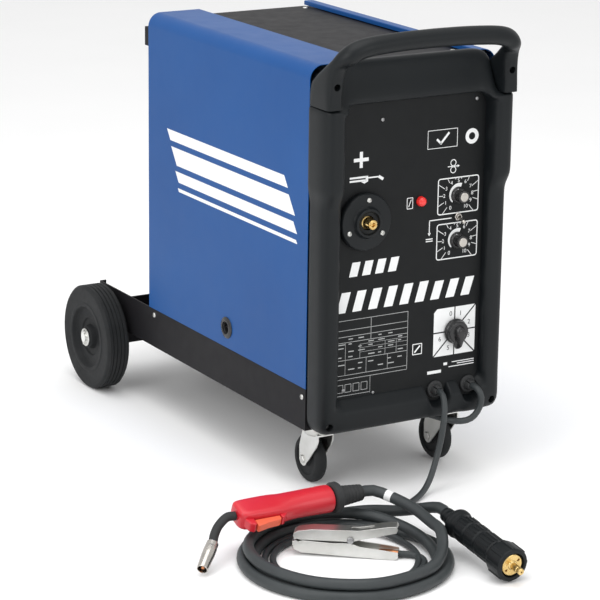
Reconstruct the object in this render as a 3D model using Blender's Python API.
"""MIG welder on a cart, as separate solids in metres, +Z up.

The design is laid out in the machine's own frame: X = 0 in the middle of the case, +X to the
right as seen from the front, +Y to the rear, Y = 0 where the front moulding meets the side
panels, Z = 0 the floor. MODEL_CENTRE then puts the origin under the middle of the whole object.
"""
import math

import bmesh
import bpy
from mathutils import Matrix, Vector

# ---- driving dimensions -------------------------------------------------------------------
CASE_HALF = 0.1720          # outer face of the side panels
CASE_REAR = 0.5390
CASE_TOP = 0.7006
CASE_BOTTOM = 0.1820
SHEET = 0.0015
GAP = 0.0004                # air between pieces that touch
END_GAP = 0.0012            # air between a cable's end face and what holds it
TRAY_BOTTOM = 0.1130
TRAY_REAR = 0.7340
FOLD = 0.0230               # radius of the side panels' upper fold
TRAY_SHEET = 0.0020
REAR_INSET = 0.0025         # air between the rear panel and the side panels' outer faces
LEFT_SEAM = -0.0727         # where the door's top strip ends
RIGHT_SEAM = 0.1360
TOP_PANEL_Z = 0.6920        # the black top lies lower than the strips beside it
BEZEL_FRONT = -0.0470
BULGE_FRONT = -0.0600       # the posts are thicker above BULGE_Z
BULGE_Z = 0.5050
PANEL_Y = -0.0280           # front face of the control panel
WINDOW_HALF = 0.1365        # half the opening in the front moulding
HANDLE_SEAM = 0.6400        # the handle's feet stand on the posts here
WHEEL_R, WHEEL_W, WHEEL_OUT = 0.0940, 0.0430, 0.2250
AXLE_Y, AXLE_R = 0.6860, 0.0080
CASTER_X, CASTER_Y, CASTER_TRAIL = 0.1210, 0.0430, 0.0230
CASTER_R, CASTER_W = 0.0400, 0.0220
SOCKET = (-0.0890, 0.4535)  # x, z of the torch socket on the panel
DIAL_X, SPEED_Z, SPOT_Z, TOGGLE_Z = 0.0885, 0.4755, 0.4015, 0.4405
SWITCH = (0.0890, 0.2506)
LAMP = (0.0170, 0.4733)
GLAND_Z, EARTH_X, MAINS_X = 0.1570, 0.0534, 0.1174
DIVIDER_X = -0.0300
SPOOL_Y, SPOOL_Z, SPOOL_R = 0.3300, 0.4550, 0.1400
FEED_Y, ROLLER_R = 0.0950, 0.0160
FAN = (0.0700, 0.4200)      # x, z of the fan's axis
TORCH_D, EARTH_D, MAINS_D = 0.0175, 0.0100, 0.0105
COIL = (-0.2600, -0.2700)   # middle of the torch cable's coil on the floor
COIL_R = 0.1455             # middle of the coil's turns
CROSSING = 46               # degrees round the coil where the earth cable passes under it
MAINS_COIL = (0.0850, 0.8000)
MAINS_COIL_R = 0.0578
TORCH_FRONT = Vector((-0.3880, -0.1600, 0.0620))
TORCH_BACK = Vector((1.0, -0.0150, 0.0)).normalized()
TORCH_DOWN = Vector((0.0300, -0.9440, -0.3300))
TORCH_DOWN = (TORCH_DOWN - TORCH_BACK * TORCH_DOWN.dot(TORCH_BACK)).normalized()
TORCH_SIDE = TORCH_BACK.cross(TORCH_DOWN)
GRIP_LENGTH, GRIP_R = 0.1650, 0.0205
SUPPORT_END = 0.2200        # end of the torch's cable support, from the grip's front
PLUG_REAR = Vector((-0.0850, -0.3050, 0.0450))
PLUG_FRONT = Vector((-0.0870, -0.4550, 0.0285))
PLUG_AXIS = (PLUG_FRONT - PLUG_REAR).normalized()
BOOT = 0.0300
CLAMP_MIDDLE = Vector((-0.2420, -0.2410, 0.0))
CLAMP_AXIS = Vector((0.8000, -0.6000, 0.0)).normalized()
CLAMP_HALF = 0.0800
CABLE_Z = 0.0064            # height of the earth cable where it enters the clamp
PLATFORM_Z = TRAY_BOTTOM + 0.0045
DOOR_AXIS = (-0.0735, 0.6940)
MODEL_CENTRE = (-0.1253, 0.2787)

# ---- scene and materials --------------------------------------------------------------------
for old in list(bpy.data.objects):
    bpy.data.objects.remove(old, do_unlink=True)

FRAME = bpy.data.objects.new("machine_frame", None)
bpy.context.collection.objects.link(FRAME)
FRAME.location = (-MODEL_CENTRE[0], -MODEL_CENTRE[1], 0.0)


def material(name, colour, roughness, metallic=0.0):
    made = bpy.data.materials.new(name)
    made.use_nodes = True
    shader = made.node_tree.nodes["Principled BSDF"]
    shader.inputs["Base Color"].default_value = (*colour, 1.0)
    shader.inputs["Roughness"].default_value = roughness
    shader.inputs["Metallic"].default_value = metallic
    return made


BLUE = material("blue_paint", (0.03, 0.12, 0.36), 0.4)
BLACK_PAINT = material("black_paint", (0.025, 0.025, 0.028), 0.5)
BLACK_PLASTIC = material("black_plastic", (0.018, 0.02, 0.022), 0.45)
RUBBER = material("rubber", (0.014, 0.014, 0.015), 0.75)
ZINC = material("zinc", (0.6, 0.6, 0.58), 0.35, 1.0)
STEEL = material("bare_steel", (0.45, 0.45, 0.45), 0.4, 1.0)
BRASS = material("brass", (0.7, 0.5, 0.2), 0.3, 1.0)
COPPER = material("copper", (0.6, 0.25, 0.12), 0.4, 1.0)
RED = material("red_plastic", (0.7, 0.02, 0.03), 0.4)
ORANGE = material("orange_plastic", (0.75, 0.1, 0.04), 0.4)
CABLE = material("cable_rubber", (0.03, 0.035, 0.035), 0.6)


# ---- modelling helpers ----------------------------------------------------------------------
def place(name, mesh_maker, look, parent=None, matrix=None):
    """Build one named object from a bmesh and hang it on its frame."""
    mesh = bpy.data.meshes.new(name)
    bm = bmesh.new()
    mesh_maker(bm)
    bmesh.ops.remove_doubles(bm, verts=bm.verts, dist=1e-6)
    bmesh.ops.recalc_face_normals(bm, faces=bm.faces)
    if bm.calc_volume(signed=True) < 0:
        bmesh.ops.reverse_faces(bm, faces=bm.faces)
    bm.to_mesh(mesh)
    bm.free()
    item = bpy.data.objects.new(name, mesh)
    bpy.context.collection.objects.link(item)
    item.parent = parent or FRAME
    if matrix is not None:
        item.matrix_local = matrix
    if look is not None:
        mesh.materials.append(look)
    return item


def add_box(bm, low, high):
    made = bmesh.ops.create_cube(bm, size=1.0)
    size = [b - a for a, b in zip(low, high)]
    middle = [(a + b) / 2 for a, b in zip(low, high)]
    bmesh.ops.scale(bm, vec=size, verts=made["verts"])
    bmesh.ops.translate(bm, vec=middle, verts=made["verts"])


def add_prism(bm, outline, start, end, axis):
    """Extrude a 2-D outline along an axis: X takes (y, z), Y takes (x, z), Z takes (x, y)."""
    lift = {"X": lambda a, b, c: (c, a, b), "Y": lambda a, b, c: (a, c, b), "Z": lambda a, b, c: (a, b, c)}[axis]
    rings = [[bm.verts.new(lift(a, b, c)) for a, b in outline] for c in (start, end)]
    count = len(outline)
    for i in range(count):
        j = (i + 1) % count
        bm.faces.new((rings[0][i], rings[0][j], rings[1][j], rings[1][i]))
    for ring in rings:
        bm.faces.new(ring)


def add_turned(bm, profile, steps):
    """Turn (radius, height) points about Z. A closed profile off the axis gives a ring."""
    rings = []
    for radius, height in profile:
        if radius < 1e-7:
            rings.append([bm.verts.new((0, 0, height))])
            continue
        angles = [2 * math.pi * k / steps for k in range(steps)]
        rings.append([bm.verts.new((radius * math.cos(a), radius * math.sin(a), height)) for a in angles])
    closed = len(rings[0]) > 1
    pairs = list(zip(rings, rings[1:])) + ([(rings[-1], rings[0])] if closed else [])
    for lower, upper in pairs:
        for k in range(steps):
            n = (k + 1) % steps
            corners = [lower[k % len(lower)], lower[n % len(lower)], upper[n % len(upper)], upper[k % len(upper)]]
            bm.faces.new(list(dict.fromkeys(corners)))


def box(name, low, high, look, **kw):
    return place(name, lambda bm: add_box(bm, low, high), look, **kw)


def prism(name, outline, start, end, axis, look, **kw):
    return place(name, lambda bm: add_prism(bm, outline, start, end, axis), look, **kw)


def along(point, direction):
    """Matrix that stands local +Z along a direction at a point."""
    turn = Vector(direction).to_track_quat("Z", "Y").to_matrix().to_4x4()
    return Matrix.Translation(point) @ turn


def turned(name, profile, point, direction, look, steps=24, parent=None):
    item = place(name, lambda bm: add_turned(bm, profile, steps), look, parent, along(point, direction))
    item.data.shade_smooth()
    item.data.set_sharp_from_angle(angle=math.radians(35))
    return item


def combine(item, others, operation):
    for other in others:
        other.hide_render = True
        other.display_type = "WIRE"
        step = item.modifiers.new(other.name, "BOOLEAN")
        step.operation = operation
        step.object = other
    return item


def cut(item, *cutters):
    return combine(item, cutters, "DIFFERENCE")


def fuse(item, *extras):
    return combine(item, extras, "UNION")


def rounded(low, high, radius, steps=4):
    """Rectangle outline with round corners, counter-clockwise."""
    (x0, y0), (x1, y1) = low, high
    corners = [(x1 - radius, y0 + radius, -90), (x1 - radius, y1 - radius, 0),
               (x0 + radius, y1 - radius, 90), (x0 + radius, y0 + radius, 180)]
    points = []
    for cx, cy, first in corners:
        for k in range(steps + 1):
            a = math.radians(first + 90 * k / steps)
            points.append((cx + radius * math.cos(a), cy + radius * math.sin(a)))
    return points


def disc(radius, low, high):
    return [(0, low), (radius, low), (radius, high), (0, high)]


def arc(centre, radius, first, last, steps):
    angles = [math.radians(first + (last - first) * k / steps) for k in range(steps + 1)]
    return [(centre[0] + radius * math.cos(a), centre[1] + radius * math.sin(a)) for a in angles]


def smooth_route(route, step):
    """Points at an even spacing along a Catmull-Rom curve through the route's points."""
    pts = [Vector(p) for p in route]
    pts = [2 * pts[0] - pts[1]] + pts + [2 * pts[-1] - pts[-2]]
    fine = []
    for p0, p1, p2, p3 in zip(pts, pts[1:], pts[2:], pts[3:]):
        for k in range(24):
            t = k / 24
            fine.append(0.5 * (2 * p1 + (p2 - p0) * t + (2 * p0 - 5 * p1 + 4 * p2 - p3) * t * t
                               + (3 * p1 - p0 - 3 * p2 + p3) * t ** 3))
    fine.append(pts[-2])
    total = sum((b - a).length for a, b in zip(fine, fine[1:]))
    count = max(2, round(total / step))
    even, walked, target = [fine[0]], 0.0, total / count
    for a, b in zip(fine, fine[1:]):
        length = (b - a).length
        while walked + length >= target - 1e-9 and len(even) < count:
            even.append(a.lerp(b, (target - walked) / length))
            target += total / count
        walked += length
    return even + [fine[-1]]


def tube(name, route, diameter, look, step=None, parent=None):
    """A cord's solid: a POLY curve with a round bevel and filled ends."""
    curve = bpy.data.curves.new(name, "CURVE")
    curve.dimensions = "3D"
    curve.bevel_depth = diameter / 2
    curve.bevel_resolution = 2
    curve.render_resolution_u = 0
    curve.use_fill_caps = True
    points = smooth_route(route, step or 2.5 * diameter)
    first, last = Vector(route[0]), Vector(route[-1])
    points.insert(1, first + (Vector(route[1]) - first).normalized() * diameter / 2)
    points.insert(-1, last + (Vector(route[-2]) - last).normalized() * diameter / 2)
    spline = curve.splines.new("POLY")
    spline.points.add(len(points) - 1)
    for target, point in zip(spline.points, points):
        target.co = (*point, 1.0)
    item = bpy.data.objects.new(name, curve)
    bpy.context.collection.objects.link(item)
    item.parent = parent or FRAME
    curve.materials.append(look)
    return item


# ---- chassis and running gear -----------------------------------------------------------------
def chassis():
    wall = TRAY_SHEET
    low, high = (-CASE_HALF, GAP, TRAY_BOTTOM), (CASE_HALF, TRAY_REAR, CASE_BOTTOM - GAP)
    tray = box("chassis_tray", low, high, BLACK_PAINT)
    inside = box("tray_inside", (low[0] + wall, low[1] + wall, low[2] + wall),
                 (high[0] - wall, high[1] - wall, 0.3), None)
    notch = box("tray_notch", (-0.160, TRAY_REAR - 0.01, TRAY_BOTTOM + 0.030), (0.160, TRAY_REAR + 0.01, 0.3), None)
    cut(tray, inside, notch)
    fuse(tray, box("cylinder_platform", (-0.1600, 0.5600, TRAY_BOTTOM + 0.0010), (0.1600, 0.7250, PLATFORM_Z), None))

    top = TRAY_BOTTOM - GAP
    bracket = box("axle_bracket", (-0.168, 0.6640, 0.0790), (0.168, 0.7080, top), BLACK_PAINT)
    cut(bracket, box("bracket_inside", (-0.165, 0.6670, 0.05), (0.165, 0.7050, top - 0.003), None),
        turned("bracket_bore", disc(AXLE_R + GAP, -0.3, 0.3), (0, AXLE_Y, WHEEL_R), (1, 0, 0), None))
    turned("rear_axle", disc(AXLE_R, -0.2300, 0.2300), (0, AXLE_Y, WHEEL_R), (1, 0, 0), ZINC)


def rear_wheels():
    half = WHEEL_W / 2
    tyre = [(WHEEL_R - 0.012, half), (WHEEL_R - 0.003, half - 0.004), (WHEEL_R, half - 0.010)]
    rim = [(0.020, half - 0.004), (0.026, half - 0.013), (0.052, half - 0.013), (0.060, half - 0.001)]
    hub = [(AXLE_R + GAP, half - 0.001), (0.016, half - 0.001)]
    outer = hub + rim + tyre
    profile = outer + [(r, -h) for r, h in reversed(outer)]
    for name, side in (("rear_wheel_left", -1), ("rear_wheel_right", 1)):
        turned(name, profile, (side * (WHEEL_OUT - half), AXLE_Y, WHEEL_R), (side, 0, 0), RUBBER, steps=40)


def casters():
    top = TRAY_BOTTOM - GAP
    axle_y = CASTER_Y + CASTER_TRAIL
    cheek = CASTER_W / 2 + 0.0015
    for side, x in (("left", -CASTER_X), ("right", CASTER_X)):
        box(f"caster_{side}_plate", (x - 0.030, CASTER_Y - 0.035, top - 0.0025), (x + 0.030, CASTER_Y + 0.035, top), ZINC)
        race_low, race_top = 0.0870, top - 0.0025 - GAP
        fork = turned(f"caster_{side}_fork", disc(0.0240, race_low, race_top), (x, CASTER_Y, 0), (0, 0, 1), ZINC)
        outline = [(CASTER_Y - 0.022, 0.092), (CASTER_Y - 0.020, 0.075), (axle_y - 0.010, CASTER_R - 0.006),
                   (axle_y + 0.002, CASTER_R - 0.011), (axle_y + 0.011, CASTER_R - 0.002),
                   (axle_y + 0.012, 0.070), (CASTER_Y + 0.022, 0.092)]
        for number, edge in ((1, -cheek - 0.0025), (2, cheek)):
            fuse(fork, prism(f"caster_{side}_cheek{number}", outline, x + edge, x + edge + 0.0025, "X", None))
        bridge = box(f"caster_{side}_bridge", (x - cheek - 0.001, CASTER_Y - 0.016, 0.0865),
                     (x + cheek + 0.001, CASTER_Y + 0.016, 0.0925), None)
        bolt = turned(f"caster_{side}_bolt", disc(0.0050, -cheek - 0.007, cheek + 0.007),
                      (x, axle_y, CASTER_R), (1, 0, 0), None, steps=16)
        fuse(fork, bridge, bolt)
        half = CASTER_W / 2
        outer = [(0.0054, half), (0.012, half), (0.016, half - 0.003), (0.027, half - 0.003), (0.030, half - 0.0005),
                 (CASTER_R - 0.004, half - 0.001), (CASTER_R, half - 0.006)]
        profile = outer + [(r, -h) for r, h in reversed(outer)]
        turned(f"caster_{side}_wheel", profile, (x, axle_y, CASTER_R), (1, 0, 0), RUBBER, steps=28)


# ---- case -------------------------------------------------------------------------------------
def side_shell(name, side, seam, front, rear, look):
    """Bent side panel: vertical sheet, round fold, top strip and a short lip at the seam."""
    radius = FOLD
    lip = TOP_PANEL_Z + 0.0010
    outer = [(CASE_HALF, CASE_BOTTOM), (CASE_HALF, CASE_TOP - radius)]
    outer += arc((CASE_HALF - radius, CASE_TOP - radius), radius, 0, 90, 6)[1:]
    outer += [(seam * side, CASE_TOP), (seam * side, lip)]
    inner = [(seam * side + SHEET, lip), (seam * side + SHEET, CASE_TOP - SHEET)]
    inner += arc((CASE_HALF - radius, CASE_TOP - radius), radius - SHEET, 90, 0, 6)
    inner += [(CASE_HALF - SHEET, CASE_BOTTOM)]
    outline = [(side * x, z) for x, z in outer + inner]
    return prism(name, outline, front, rear, "Y", look)


def case():
    front, rear = 2 * GAP, CASE_REAR
    door = side_shell("side_door", -1, LEFT_SEAM, front, rear, BLUE)
    latch_y, latch_z = 0.2579, 0.2167
    hole = turned("latch_hole", disc(0.0085, -0.2, 0.2), (-CASE_HALF, latch_y, latch_z), (1, 0, 0), None)
    cut(door, hole)
    shank, rim = 0.0080, 0.0125
    latch = turned("door_latch", [(0, -0.0100), (shank, -0.0100), (shank, GAP), (rim, GAP), (rim - 0.002, 0.0035),
                                  (0, 0.0035)], (-CASE_HALF, latch_y, latch_z), (-1, 0, 0), BLACK_PLASTIC)
    cut(latch, box("latch_slot", (-CASE_HALF - 0.010, latch_y - 0.0015, latch_z - 0.008),
                   (-CASE_HALF - 0.0015, latch_y + 0.0015, latch_z + 0.008), None))
    side_shell("side_cover", 1, RIGHT_SEAM, front, rear, BLUE)

    top = box("top_panel", (LEFT_SEAM - 0.020, 0.004, TOP_PANEL_Z - 2 * SHEET),
              (RIGHT_SEAM + 0.010, CASE_REAR - 0.003, TOP_PANEL_Z - SHEET), BLACK_PAINT)
    fuse(top, box("top_raised", (LEFT_SEAM + 0.0015, 0.006, TOP_PANEL_Z - 1.5 * SHEET),
                  (RIGHT_SEAM - 0.0015, CASE_REAR - 0.005, TOP_PANEL_Z), None))
    inset = CASE_HALF - REAR_INSET
    rear_panel = box("rear_panel", (-inset, CASE_REAR - 0.0025, TRAY_BOTTOM + 0.002 + GAP),
                     (inset, CASE_REAR - 0.0010, CASE_TOP - FOLD - 0.002), BLACK_PAINT)
    for row in range(9):        # slots in front of the fan, shorter towards its top and bottom
        z = FAN[1] - 0.072 + 0.018 * row
        reach = math.sqrt(max(0.080 ** 2 - (z - FAN[1]) ** 2, 0.02 ** 2))
        cut(rear_panel, box(f"fan_slot{row}", (FAN[0] - reach, 0.5, z - 0.0035), (FAN[0] + reach, 0.6, z + 0.0035), None))


def cylinder_cradle():
    """Upper support for a gas cylinder: a shallow hollow between two wings, on the rear panel."""
    face = CASE_REAR + GAP
    outline = [(-0.1690, face), (0.1400, face), (0.1400, face + 0.018), (0.0820, face + 0.018), (0.0700, face + 0.050)]
    outline += arc((-0.0050, face + 0.095), 0.0850, -32, -148, 8)
    outline += [(-0.0800, face + 0.050), (-0.0920, face + 0.018), (-0.1690, face + 0.018)]
    prism("cylinder_cradle", outline, 0.6430, 0.6750, "Z", BLACK_PAINT)


def front_bezel():
    low, high = (-CASE_HALF + 0.0006, TRAY_BOTTOM), (CASE_HALF - 0.0006, 0.7040)
    bezel = prism("front_bezel", rounded(low, high, 0.0100), BEZEL_FRONT, 0.0, "Y", BLACK_PLASTIC)
    post_in = WINDOW_HALF
    for name, side in (("left", -1), ("right", 1)):
        block = [(side * post_in, BULGE_Z), (side * 0.1760, BULGE_Z), (side * 0.1760, HANDLE_SEAM), (side * post_in, HANDLE_SEAM)]
        fuse(bezel, prism(f"bezel_bulge_{name}", block, BULGE_FRONT, -0.0020, "Y", None))
        seat = box(f"bezel_seat_{name}", (min(side * 0.125, side * 0.2), -0.1, HANDLE_SEAM),
                   (max(side * 0.125, side * 0.2), 0.01, 0.8), None)
        cut(bezel, seat)
    slope = [(-0.0400, HANDLE_SEAM), (-0.0300, 0.6640), (-0.0180, 0.6960), (-0.0140, 0.7100), (-0.1, 0.7100), (-0.1, HANDLE_SEAM)]
    cut(bezel, prism("bezel_slope", slope, -0.2, 0.2, "X", None))
    window = prism("bezel_window", rounded((-WINDOW_HALF, 0.1630), (WINDOW_HALF, 0.6340), 0.008), -0.2, 0.1, "Y", None)
    notches = [turned(f"gland_notch{k}", disc(0.0165, -0.1, 0.1), (x, -0.05, GLAND_Z), (0, 1, 0), None)
               for k, x in enumerate((EARTH_X, MAINS_X))]
    pocket = box("bezel_pocket", (-0.1660, PANEL_Y - GAP, 0.1185), (0.1660, 0.1, 0.6400), None)
    return cut(bezel, window, *notches, pocket)


def handle():
    """Carrying handle: two feet on the posts and a grip bar that stands forward of them."""
    foot = [(-GAP, HANDLE_SEAM + GAP), (-GAP, 0.6740), (-0.0060, 0.6840), (-0.0660, 0.7290), (-0.0700, 0.7440),
            (-0.0800, 0.7490), (-0.0920, 0.7440), (-0.0960, 0.7350), (-0.0930, 0.7250), (-0.0790, 0.7180),
            (-0.0680, 0.7050), (-0.0620, 0.6850), (BULGE_FRONT, HANDLE_SEAM + GAP)]
    part = prism("handle", foot, -0.1755, -0.1260, "X", BLACK_PLASTIC)
    fuse(part, prism("handle_foot_right", foot, 0.1260, 0.1755, "X", None))
    bar = arc((-0.0800, 0.7385), 0.0170, 0, 330, 11)
    return fuse(part, prism("handle_bar", bar, -0.1600, 0.1600, "X", None))


# ---- control panel ----------------------------------------------------------------------------
def front_panel():
    panel = box("front_panel", (-0.1500, PANEL_Y, 0.1350), (0.1500, PANEL_Y + SHEET, HANDLE_SEAM - 2 * GAP), BLACK_PAINT)
    holes = [(SOCKET, 0.0135), (LAMP, 0.0056), ((EARTH_X, GLAND_Z), 0.0090), ((MAINS_X, GLAND_Z), 0.0090)]
    for number, ((x, z), radius) in enumerate(holes):
        cut(panel, turned(f"panel_hole{number}", disc(radius, -0.1, 0.1), (x, 0, z), (0, 1, 0), None))
    forward = (0, -1, 0)
    x, z = SOCKET
    flange = [(0.0120, GAP), (0.0460, GAP), (0.0460, 0.0080), (0.0430, 0.0120), (0.0250, 0.0120), (0.0220, 0.0200),
              (0.0120, 0.0200)]
    turned("socket_flange", flange, (x, PANEL_Y, z), forward, BLACK_PLASTIC, steps=32)
    barrel = [(0, -0.0500), (0.0115, -0.0500), (0.0115, 0.0240), (0.0080, 0.0250), (0.0080, 0.0310), (0, 0.0310)]
    turned("socket_barrel", barrel, (x, PANEL_Y, z), forward, BRASS)
    lens = [(0, -0.0120), (0.0052, -0.0120), (0.0052, GAP), (0.0068, GAP), (0.0068, 0.0020), (0.0058, 0.0060),
            (0.0030, 0.0085), (0, 0.0090)]
    turned("pilot_lamp", lens, (LAMP[0], PANEL_Y, LAMP[1]), forward, RED, steps=16)
    for name, x in (("earth", EARTH_X), ("mains", MAINS_X)):
        wall, inner, bore = 0.0145, 0.0085, (EARTH_D if name == "earth" else MAINS_D) / 2 + GAP
        back = SHEET + GAP
        profile = [(bore, -0.0120), (0.0120, -0.0120), (0.0120, -back), (inner, -back), (inner, GAP), (wall, GAP),
                   (wall, 0.0040), (0.0100, 0.0110), (0.0080, 0.0160), (bore, 0.0160)]
        turned(f"{name}_gland", profile, (x, PANEL_Y, GLAND_Z), forward, BLACK_PLASTIC)


def controls():
    forward = (0, -1, 0)
    base, cap, depth = 0.0135, 0.0100, 0.0185
    knob = [(0, GAP), (base, GAP), (base, 0.0040), (cap + 0.001, 0.0060), (cap, depth - 0.001), (cap - 0.001, depth),
            (0, depth)]
    for name, z in (("wire_speed_knob", SPEED_Z), ("spot_time_knob", SPOT_Z)):
        turned(name, knob, (DIAL_X, PANEL_Y, z), forward, BLACK_PLASTIC)
    turned("timer_toggle", [(0, 0.0006), (0.0022, 0.0006), (0.0018, 0.010), (0.0028, 0.0170), (0, 0.0180)],
                   (DIAL_X, PANEL_Y - 0.0012, TOGGLE_Z), (0, -math.cos(0.3), -math.sin(0.3)), ZINC, steps=12)
    x, z = SWITCH
    knob = [(0, 0.0020), (0.0210, 0.0020), (0.0210, 0.0070), (0.0170, 0.0100), (0.0155, 0.0200), (0, 0.0200)]
    switch = turned("power_switch_knob", knob, (x, PANEL_Y, z), forward, BLACK_PLASTIC)
    pointer = [(x - 0.0060, z + 0.014), (x - 0.0060, z - 0.016), (x, z - 0.030), (x + 0.0060, z - 0.016),
               (x + 0.0060, z + 0.014)]
    fuse(switch, prism("switch_pointer", pointer, PANEL_Y - 0.0240, PANEL_Y - 0.0030, "Y", None))


# ---- inside -----------------------------------------------------------------------------------
def electrics():
    divider = box("divider", (DIVIDER_X - 0.00075, 0.006, 0.1160), (DIVIDER_X + 0.00075, 0.5300, 0.6880), ZINC)
    holes = [turned("divider_hole", disc(0.0140, -0.2, 0.2), (DIVIDER_X, FEED_Y, SOCKET[1] - ROLLER_R), (1, 0, 0), None),
             turned("divider_spool_hole", disc(0.0080, -0.2, 0.2), (DIVIDER_X, SPOOL_Y, SPOOL_Z), (1, 0, 0), None)]
    cut(divider, *holes)
    core = box("transformer_core", (0.0400, 0.1200, 0.1160), (0.1200, 0.3200, 0.2960), STEEL)
    windows = [box(f"core_window{k}", (0, y, 0.1560), (0.2, y + 0.0450, 0.2560), None) for k, y in enumerate((0.150, 0.245))]
    cut(core, *windows)
    winding = prism("transformer_winding", rounded((0.0080, 0.1505), (0.1520, 0.2895), 0.020), 0.1565, 0.2555, "Z", COPPER)
    cut(winding, box("winding_core_hole", (0.0395, 0.1945, 0.1), (0.1205, 0.2455, 0.4), None))
    fins = [(0.0400, 0.3700), (0.1400, 0.3700)]
    for k in range(8):
        y = 0.3780 + 0.0090 * k
        fins += [(0.1400, y), (0.0480, y), (0.0480, y + 0.0060), (0.1400, y + 0.0060)]
    fins += [(0.1400, 0.4560), (0.0400, 0.4560)]
    prism("rectifier", fins, 0.1160, 0.2260, "Z", STEEL)
    x, z = FAN
    motor = turned("fan_motor", disc(0.0300, -0.0450, 0), (x, 0.4980, z), (0, 1, 0), STEEL, steps=24)
    fuse(motor, box("fan_motor_arm", (DIVIDER_X + 0.0012, 0.4600, z - 0.012), (x, 0.4800, z + 0.012), None))
    fan = turned("fan_blades", disc(0.0200, 0.0010, 0.0250), (x, 0.4980, z), (0, 1, 0), BLACK_PLASTIC, steps=20)
    for k in range(5):
        a = 2 * math.pi * k / 5
        blade = [(0.012, -0.016), (0.078, -0.030), (0.078, 0.022), (0.012, 0.014)]
        sheet = prism(f"fan_blade{k}", blade, -0.0009, 0.0009, "Z", None)
        twist = Matrix.Rotation(math.radians(24), 4, "X")
        sheet.matrix_local = Matrix.Translation((x, 0.5110, z)) @ Matrix.Rotation(a, 4, "Y") @ \
            Matrix.Rotation(math.radians(90), 4, "X") @ twist
        fuse(fan, sheet)


def wire_feed():
    face = DIVIDER_X - 0.00075 - GAP
    middle_x, wire_z = SOCKET[0], SOCKET[1]
    hub = [(0, 0.0), (0.0340, 0.0), (0.0340, 0.0080), (0.0250, 0.0090), (0.0250, 0.1250), (0.0220, 0.1290), (0, 0.1290)]
    turned("spool_hub", hub, (face, SPOOL_Y, SPOOL_Z), (-1, 0, 0), BLACK_PLASTIC, steps=24)
    bore, rim, wire = 0.0255, SPOOL_R, SPOOL_R - 0.022
    spool = [(bore, 0.0), (rim, 0.0), (rim, 0.0040), (wire, 0.0040), (wire, 0.0960), (rim, 0.0960), (rim, 0.1000),
             (bore, 0.1000)]
    turned("wire_spool", spool, (face - 0.0130, SPOOL_Y, SPOOL_Z), (-1, 0, 0), BLACK_PLASTIC, steps=40)

    roller_z = wire_z - ROLLER_R - GAP
    base = box("feed_motor", (face - 0.0180, 0.0450, 0.3950), (face, 0.1550, 0.4900), BLACK_PLASTIC)
    shaft = turned("feed_motor_body", disc(0.0130, -0.010, 0.090), (face, FEED_Y, roller_z), (1, 0, 0), None)
    body = turned("feed_motor_can", disc(0.0330, 0.0100, 0.0950), (face, FEED_Y, roller_z), (1, 0, 0), None)
    spindle = turned("feed_spindle", disc(0.0050, -0.0750, 0.010), (face, FEED_Y, roller_z), (1, 0, 0), None, steps=16)
    post = box("feed_guide_post", (middle_x - 0.008, 0.0480, 0.4020), (face - 0.010, 0.0600, 0.4480), None)
    tab = box("feed_hinge_ear", (middle_x + 0.0126, 0.1300, 0.4600), (face - 0.010, 0.1440, 0.4920), None)
    fuse(base, shaft, body, spindle, post, tab)
    side = 0.0060
    roller = [(0.0054, -side), (ROLLER_R, -side), (ROLLER_R, side), (0.0054, side)]
    turned("feed_roller", roller, (middle_x, FEED_Y, roller_z), (1, 0, 0), STEEL, steps=24)
    top_r = 0.0120
    top_z = wire_z + top_r + GAP
    idler = [(0.0034, -side), (top_r, -side), (top_r, side), (0.0034, side)]
    turned("pressure_roller", idler, (middle_x, FEED_Y, top_z), (1, 0, 0), STEEL, steps=20)
    arm = box("pressure_arm", (middle_x - side - 0.0060, 0.0500, top_z + 0.0140), (middle_x + side + 0.0060, 0.1430, top_z + 0.0220),
              BLACK_PLASTIC)
    for k, edge in enumerate((-side - 0.0050, side + 0.0010)):
        fuse(arm, box(f"pressure_cheek{k}", (middle_x + edge, FEED_Y - 0.008, top_z - 0.006),
                      (middle_x + edge + 0.0040, FEED_Y + 0.008, top_z + 0.015), None))
    fuse(arm, turned("pressure_pin", disc(0.0030, -side - 0.003, side + 0.003), (middle_x, FEED_Y, top_z), (1, 0, 0),
                     None, steps=12))
    fuse(arm, turned("pressure_knob", [(0, 0.0), (0.009, 0.0), (0.009, 0.022), (0, 0.022)],
                     (middle_x, 0.0600, top_z + 0.0200), (0, 0, 1), None, steps=16))


# ---- torch ------------------------------------------------------------------------------------
def torch_frame():
    """Local X runs back along the grip, local Y towards the trigger, local Z across it."""
    frame = bpy.data.objects.new("torch_frame", None)
    bpy.context.collection.objects.link(frame)
    frame.parent = FRAME
    turn = Matrix((TORCH_BACK, TORCH_DOWN, TORCH_SIDE)).transposed().to_4x4()
    frame.matrix_local = Matrix.Translation(TORCH_FRONT) @ turn
    return frame


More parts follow.
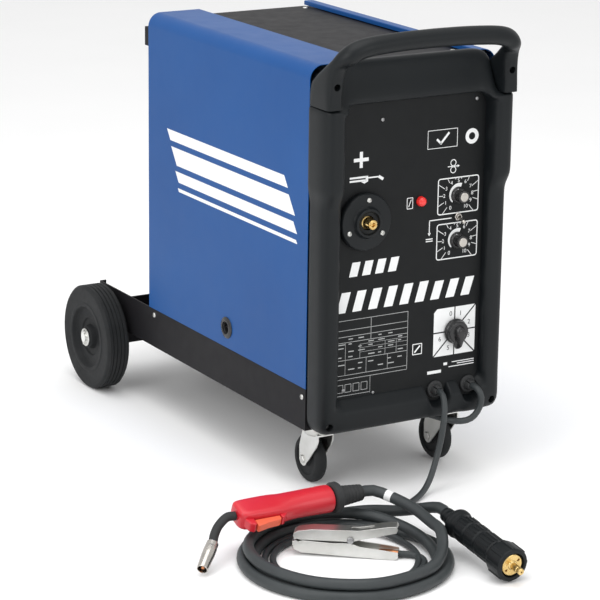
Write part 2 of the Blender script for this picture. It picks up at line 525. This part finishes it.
def torch():
    frame = torch_frame()
    grip = [(0.0, -0.0180), (0.0, 0.0120), (0.0100, 0.0320), (0.0190, 0.0360), (0.0200, 0.0230), (0.0640, 0.0230),
            (0.0650, 0.0320), (0.0700, 0.0300), (0.0800, GRIP_R), (GRIP_LENGTH, GRIP_R), (GRIP_LENGTH, -GRIP_R),
            (0.0150, -GRIP_R)]
    prism("torch_grip", grip, -0.0170, 0.0170, "Z", RED, parent=frame)
    trigger = [(0.0206, 0.0236), (0.0634, 0.0236), (0.0634, 0.0320), (0.0560, 0.0350), (0.0206, 0.0380)]
    prism("torch_trigger", trigger, -0.0070, 0.0070, "Z", ORANGE, parent=frame)
    relief = [(0, GRIP_LENGTH + GAP), (0.0235, GRIP_LENGTH + GAP), (0.0240, 0.1740), (0.0150, 0.1800), (0.0145, SUPPORT_END - 0.002),
              (0.0125, SUPPORT_END), (0, SUPPORT_END)]
    turned("torch_cable_support", relief, (0, 0, 0), (1, 0, 0), RUBBER, parent=frame)

    start = TORCH_FRONT - TORCH_BACK * END_GAP
    bend = [start, start - TORCH_BACK * 0.0130, start + Vector((-0.0290, -0.0040, -0.0090)),
            start + Vector((-0.0400, -0.0115, -0.0185)), start + Vector((-0.0470, -0.0195, -0.0270))]
    tube("torch_neck", bend, 0.0140, RUBBER, step=0.0080)
    tip = start + Vector((-0.0850, -0.0560, -0.0500))
    along_nozzle = (tip - bend[-1]).normalized()
    reach = (tip - bend[-1]).length
    nozzle = [(0, 0.0022), (0.0092, 0.0022), (0.0098, reach * 0.4), (0.0085, reach), (0.0068, reach), (0.0068, reach - 0.010),
              (0, reach - 0.010)]
    turned("torch_nozzle", nozzle, bend[-1], along_nozzle, ZINC)


# ---- cables that lie on the floor -----------------------------------------------------------------
def ring_section(middle, diameter, columns, rows):
    """Outer shape of a coil's turns, as a closed (radius, height) profile."""
    half = columns * diameter / 2
    low, high = 0.0003, 0.0003 + diameter * (1 + (rows - 1) * 0.9)
    slant = diameter * 0.35
    return [(middle - half, low), (middle + half, low), (middle + half, high - slant), (middle + half - slant, high),
            (middle - half + slant, high), (middle - half, high - slant)]


def on_circle(centre, radius, degrees, height):
    a = math.radians(degrees)
    return (centre[0] + radius * math.cos(a), centre[1] + radius * math.sin(a), height)


def torch_cable():
    section = [(COIL_R - 0.0176, 0.0003), (COIL_R + 0.0176, 0.0003), (COIL_R + 0.0176, 0.0125), (COIL_R + 0.0085, 0.0335),
               (COIL_R - 0.0085, 0.0335), (COIL_R - 0.0176, 0.0125)]
    coil = turned("torch_cable_coil", section, (*COIL, 0), (0, 0, 1), CABLE, steps=40)
    crossing = Matrix.Translation(on_circle(COIL, COIL_R, CROSSING, 0)) @ Matrix.Rotation(math.radians(22), 4, "Z")
    cut(coil, box("earth_tunnel", (-0.055, -0.0120, -0.01), (0.055, 0.0120, 0.0120), None, matrix=crossing))
    end = TORCH_FRONT + TORCH_BACK * (SUPPORT_END + END_GAP)
    top = 0.0335 + TORCH_D / 2 + GAP
    start = [end, end + TORCH_BACK * 0.020, on_circle(COIL, 0.1560, 33, 0.0560), on_circle(COIL, 0.1500, 15, 0.0490),
             on_circle(COIL, COIL_R, -4, top), on_circle(COIL, COIL_R, -20, top)]
    tube("torch_cable_start", start, TORCH_D, CABLE)
    outside = COIL_R + 0.0176 + TORCH_D / 2 + 0.0030
    tail = PLUG_REAR - PLUG_AXIS * (BOOT + END_GAP)
    last = [on_circle(COIL, outside, 78, 0.0092), on_circle(COIL, outside + 0.0004, 62, 0.0130),
            on_circle(COIL, outside + 0.0010, 46, 0.0205), on_circle(COIL, outside + 0.0020, 30, 0.0270),
            tail - PLUG_AXIS * 0.0250, tail]
    tube("torch_cable_end", last, TORCH_D, CABLE)


def torch_plug():
    """Central adaptor: ribbed body with a rear boot, turning lock nut and brass front."""
    length = (PLUG_FRONT - PLUG_REAR).length
    body = [(0, -BOOT), (0.0105, -BOOT), (0.0145, -0.0010), (0.0215, 0.0), (0.0225, 0.0080), (0.0200, 0.0110),
            (0.0205, length - 0.0400), (0.0180, length - 0.0380), (0.0180, length - 0.0060), (0, length - 0.0060)]
    turned("torch_plug_body", body, PLUG_REAR, PLUG_AXIS, BLACK_PLASTIC)
    nut = [(0.0185, length - 0.0360), (0.0240, length - 0.0360), (0.0270, length - 0.0300), (0.0270, length),
           (0.0240, length + 0.0020), (0.0185, length + 0.0020)]
    turned("torch_plug_nut", nut, PLUG_REAR, PLUG_AXIS, BLACK_PLASTIC, steps=28)
    pins = [(0, length - 0.0055), (0.0170, length - 0.0055), (0.0170, length - 0.0010), (0.0060, length - 0.0005),
            (0.0055, length + 0.0220), (0.0035, length + 0.0240), (0, length + 0.0240)]
    turned("torch_plug_pin", pins, PLUG_REAR, PLUG_AXIS, BRASS, steps=20)


def earth_clamp():
    """Sprung earth clamp of two stamped channels, lying on its side edge, jaws to the left."""
    frame = bpy.data.objects.new("clamp_frame", None)
    bpy.context.collection.objects.link(frame)
    frame.parent = FRAME
    across = Vector((0, 0, 1)).cross(CLAMP_AXIS)
    turn = Matrix((CLAMP_AXIS, across, Vector((0, 0, 1)))).transposed().to_4x4()
    frame.matrix_local = Matrix.Translation(CLAMP_MIDDLE) @ turn
    half = CLAMP_HALF
    lower = [(-half, 0.0160), (-half + 0.006, 0.0070), (half - 0.020, 0.0004), (half, 0.0004), (half, 0.0124),
             (0.0200, 0.0200), (-half + 0.012, 0.0240), (-half, 0.0215)]
    jaw = prism("clamp_lower", lower, -0.0130, 0.0130, "Y", ZINC, parent=frame)
    cut(jaw, box("clamp_channel", (-half + 0.012, -0.0115, 0.0125), (0.0450, 0.0115, 0.05), None, parent=frame))
    upper = [(-half + 0.002, 0.0245), (-half + 0.012, 0.0250), (0.0080, 0.0250), (0.0260, 0.0300), (half - 0.002, 0.0430),
             (half - 0.002, 0.0530), (0.0200, 0.0440), (-half + 0.030, 0.0420), (-half + 0.004, 0.0360)]
    arm = prism("clamp_upper", upper, -0.0120, 0.0120, "Y", ZINC, parent=frame)
    cut(arm, box("clamp_upper_channel", (-half + 0.014, -0.0105, 0.01), (0.0500, 0.0105, 0.0340), None, parent=frame))


def earth_cable():
    """Down from its gland, under the torch coil, round inside it and into the clamp's end."""
    out = PANEL_Y - 0.0160 - END_GAP
    low = EARTH_D / 2 + 0.0006
    route = [(EARTH_X, out, GLAND_Z), (EARTH_X - 0.001, out - 0.008, GLAND_Z - 0.002), (0.0500, -0.0630, 0.1440),
             (0.0470, -0.0680, 0.1180), (0.0410, -0.0700, 0.0850), (0.0290, -0.0730, 0.0480), (0.0150, -0.0790, 0.0230),
             (-0.0040, -0.0890, 0.0095), (-0.0330, -0.1060, low), (-0.0680, -0.1240, low), (-0.1040, -0.1420, low)]
    entry = Vector(on_circle(COIL, COIL_R, CROSSING, low))
    slant = Vector((math.cos(math.radians(22)), math.sin(math.radians(22)), 0))
    route += [entry + slant * 0.030, entry, entry - slant * 0.030]
    first, last, widen = 84, 640, 330          # degrees: lap one inside, lap two outside it
    for angle in range(first, last, 24):
        share = min(1.0, max(0.0, (angle - widen) / 60))
        hump = max(0.0, 1 - abs(angle - 360 - CROSSING - 8) / 36)
        route.append(on_circle(COIL, 0.1085 + 0.0120 * share, angle, low + 0.0125 * hump))
    rear = CLAMP_MIDDLE + CLAMP_AXIS * (CLAMP_HALF + END_GAP) + Vector((0, 0, CABLE_Z))
    for x, y, z in ((0.0450, -0.1080, low), (0.0760, -0.0880, low), (0.0960, -0.0690, low), (0.1040, -0.0500, low),
                    (0.1005, -0.0335, low)):
        route.append((COIL[0] + x, COIL[1] + y, z))
    route += [rear + CLAMP_AXIS * 0.010, rear]
    tube("earth_cable", route, EARTH_D, CABLE, step=0.0275)


def mains_cable():
    """Loop below the gland, a run held under the tray, then a coil on the floor behind."""
    out = PANEL_Y - 0.0160 - END_GAP
    under = TRAY_BOTTOM - MAINS_D / 2 - 0.0012
    low = MAINS_D / 2 + 0.0004
    centre, radius = MAINS_COIL, MAINS_COIL_R
    outside = radius + MAINS_D * 1.5 + GAP
    route = [(MAINS_X, out, GLAND_Z), (MAINS_X + 0.001, out - 0.010, GLAND_Z - 0.001), (0.1210, -0.0640, 0.1440),
             (0.1180, -0.0640, 0.1250), (0.1050, -0.0600, 0.1080), (0.0850, -0.0480, 0.1030), (0.0650, -0.0200, under - 0.001),
             (0.0550, 0.0200, under), (0.0500, 0.1200, under), (0.0480, 0.2500, under), (0.0480, 0.3800, under),
             (0.0460, 0.4800, under), (0.0400, 0.5400, under - 0.006), (0.0300, 0.5900, 0.0700), (0.0180, 0.6300, 0.0330),
             (0.0080, 0.6700, 0.0110), (0.0020, 0.7100, low), on_circle(centre, outside + 0.004, 200, low),
             on_circle(centre, outside, 180, low)]
    tube("mains_cable", route, MAINS_D, CABLE)
    clip = [(0.0480 - 0.0130, TRAY_BOTTOM - GAP)] + [(0.0480 - 0.0072, TRAY_BOTTOM - GAP)]
    clip += arc((0.0480, under), MAINS_D / 2 + GAP, 180, 360, 8) + [(0.0480 + 0.0072, TRAY_BOTTOM - GAP)]
    clip += [(0.0480 + 0.0130, TRAY_BOTTOM - GAP), (0.0480 + 0.0130, TRAY_BOTTOM - GAP - 0.0012)]
    clip += [(0.0480 + 0.0080, TRAY_BOTTOM - GAP - 0.0012)] + arc((0.0480, under), MAINS_D / 2 + 0.0017, 360, 180, 8)
    clip += [(0.0480 - 0.0080, TRAY_BOTTOM - GAP - 0.0012), (0.0480 - 0.0130, TRAY_BOTTOM - GAP - 0.0012)]
    prism("mains_clip", clip, 0.3080, 0.3220, "Y", ZINC)
    turned("mains_coil", ring_section(radius, MAINS_D, 2, 3), (*centre, 0), (0, 0, 1), CABLE, steps=32)
    top = 0.0003 + MAINS_D * 2.8 + MAINS_D / 2 + GAP
    rear = Vector((centre[0] + 0.0230, centre[1] + radius, top + 0.0140))
    rise = [on_circle(centre, radius, 5, top), on_circle(centre, radius, 25, top + 0.0010),
            on_circle(centre, radius, 45, top + 0.0060), rear + Vector((0.0110, -0.0020, -0.0012)), rear]
    tube("mains_tail", rise, MAINS_D, CABLE, step=0.012)
    body = [(0, END_GAP), (0.0075, END_GAP), (0.0100, 0.0160), (0.0185, 0.0200), (0.0185, 0.0420), (0.0175, 0.0440), (0, 0.0440)]
    plug = turned("mains_plug", body, rear, (-1, 0, 0), BLACK_PLASTIC)
    for side in (-1, 1):
        fuse(plug, turned(f"mains_pin{side}", disc(0.0024, 0.0300, 0.0630), rear + Vector((0, side * 0.0095, 0)), (-1, 0, 0),
                          None, steps=12))


for build in (chassis, rear_wheels, casters, case, cylinder_cradle, front_bezel, handle, front_panel, controls, electrics,
              wire_feed, torch, torch_cable, torch_plug, earth_clamp, earth_cable, mains_cable):
    build()
